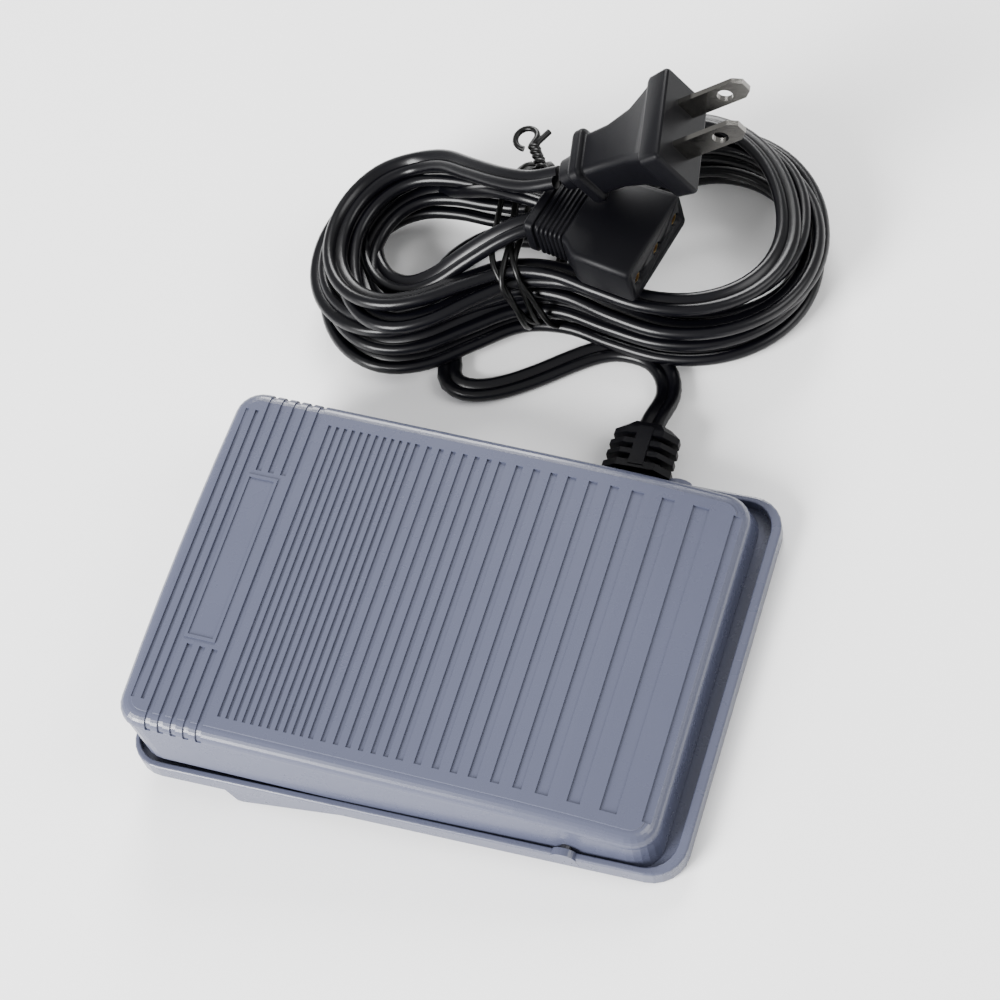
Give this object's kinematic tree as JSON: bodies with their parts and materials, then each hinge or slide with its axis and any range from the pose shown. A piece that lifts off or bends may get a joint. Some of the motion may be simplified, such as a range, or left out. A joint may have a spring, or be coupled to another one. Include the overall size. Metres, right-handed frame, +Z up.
{
  "type": "sewing machine foot pedal",
  "caption": "Shallow tray with a ridged hinged treadle, spring return and lever-driven speed control inside, and a bundled flat lead with a machine connector and a bladed wall plug",
  "frame": {"origin": "centre of the pedal's footprint, on the surface it stands on, measured without the lead", "axes": "+X from the toe to the heel hinge end, +Y across the pedal to the side the lead leaves, +Z up"},
  "size_m": [0.1403, 0.2025, 0.0705],
  "materials": {
    "housing": "fine textured blue-grey moulded plastic",
    "black_pvc": "black flexible PVC, slightly glossy",
    "rubber": "black moulded rubber",
    "steel": "zinc-plated steel",
    "brass": "plain brass",
    "nickel": "nickel plate",
    "board": "brown phenolic board",
    "aluminium": "extruded aluminium",
    "component": "black moulded epoxy",
    "capacitor": "ochre dipped film",
    "terminal": "green moulded polyamide",
    "copper": "enamelled copper winding",
    "resistor": "beige lacquer",
    "white_pvc": "natural acetal"
  },
  "bodies": {
    "tray": {"base_tray": "housing", "hinge_pin_near": "steel", "hinge_pin_far": "steel", "return_spring_near": "steel", "return_spring_far": "steel", "rubber_foot_toe_near": "rubber", "rubber_foot_toe_far": "rubber", "rubber_foot_heel_near": "rubber", "rubber_foot_heel_far": "rubber", "circuit_board": "board", "board_screw_1": "steel", "board_screw_2": "steel", "board_screw_3": "steel", "board_screw_4": "steel", "potentiometer": "component", "heat_sink": "aluminium", "triac": "component", "triac_screw": "steel", "film_capacitor": "capacitor", "choke_coil": "copper", "trimmer": "terminal", "resistor_1": "resistor", "resistor_2": "resistor", "terminal_block": "terminal", "terminal_screw_1": "steel", "terminal_screw_2": "steel", "core_wire_live": "black_pvc", "core_wire_return": "black_pvc", "strain_relief": "black_pvc", "lead_tube": "black_pvc", "lead_hank": "black_pvc", "twist_tie": "black_pvc", "machine_connector": "black_pvc", "connector_contact_1": "brass", "connector_contact_2": "brass", "connector_contact_3": "brass", "wall_plug": "black_pvc", "plug_blade_near": "nickel", "plug_blade_far": "nickel"},
    "treadle": {"treadle": "housing", "stop_screw_near": "steel", "stop_screw_far": "steel"},
    "lever": {"speed_lever": "white_pvc", "control_shaft": "nickel"}
  },
  "joints": [
    {"name": "treadle_tilt", "type": "hinge", "parent": "tray", "child": "treadle", "pos_m": [0.04175, 0, 0.00609], "axis": [0, -1, 0], "range_deg": [0, 2.7], "stiffness_Nm_per_rad": 17, "springref_deg": -1.15, "deforming": ["return_spring_near", "return_spring_far"]},
    {"name": "lever_turn", "type": "hinge", "parent": "tray", "child": "lever", "pos_m": [-0.0193, 0.0105, 0.0142], "axis": [0, -1, 0], "range_deg": [0, 15.2]}
  ],
  "couplings": [
    {"joint": "lever_turn", "follows": "treadle_tilt", "ratio": 5.6}
  ]
}
